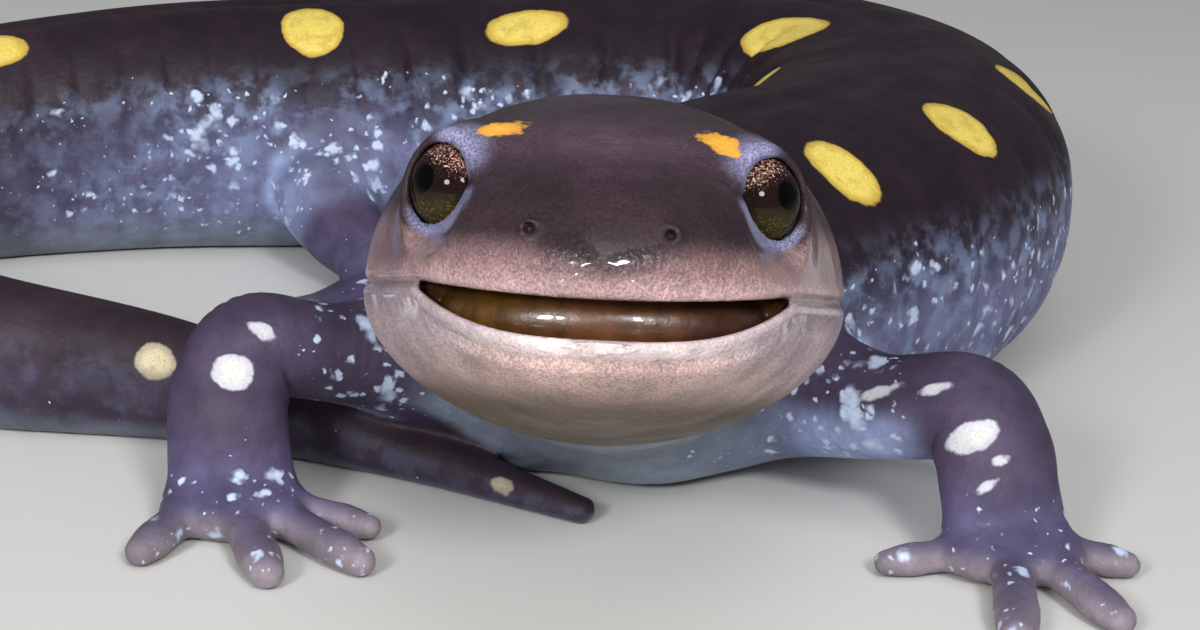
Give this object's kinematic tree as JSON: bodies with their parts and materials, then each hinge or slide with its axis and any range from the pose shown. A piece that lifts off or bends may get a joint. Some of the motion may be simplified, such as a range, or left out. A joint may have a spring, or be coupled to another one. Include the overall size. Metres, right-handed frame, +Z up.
{
  "type": "spotted salamander",
  "caption": "Life-size adult spotted salamander lying curled with raised head and parted lips, dark wet skin with yellow spots; a still model.",
  "frame": {"origin": "middle of the footprint's bounding box, on the floor the animal lies on", "axes": "+Z up; the head faces -Y with its snout raised; +X is the animal's left at the head; the trunk runs back along +Y, turns left to right behind the head, and the tail comes forward on the -X side"},
  "size_m": [0.0752, 0.0932, 0.0213],
  "materials": {
    "back": "wet skin, slate black to plum brown with yellow spots and blue-grey flecks on the flanks",
    "jaw": "wet skin, pinkish grey lips and jaw",
    "limbs": "wet skin, blue grey with pale flecks",
    "mouth": "wet lining of the mouth",
    "eye": "clear wet eye over a dark iris with copper flecks"
  },
  "bodies": {
    "root": {"eye_left": "eye", "eye_right": "eye", "forefoot_left": "limbs", "forefoot_right": "limbs", "foreleg_left_lower": "limbs", "foreleg_left_upper": "limbs", "foreleg_right_lower": "limbs", "foreleg_right_upper": "limbs", "head": "back", "hindfoot_left": "limbs", "hindfoot_right": "limbs", "hindleg_left_shank": "limbs", "hindleg_left_thigh": "limbs", "hindleg_right_shank": "limbs", "hindleg_right_thigh": "limbs", "lower_jaw": "jaw", "neck": "back", "pelvis": "back", "tail_1": "back", "tail_2": "back", "tail_3": "back", "tail_4": "back", "tail_5": "back", "tail_6": "back", "tongue": "mouth", "trunk_bend": "back", "trunk_chest": "back", "trunk_middle": "back", "trunk_rear": "back"}
  },
  "joints": []
}
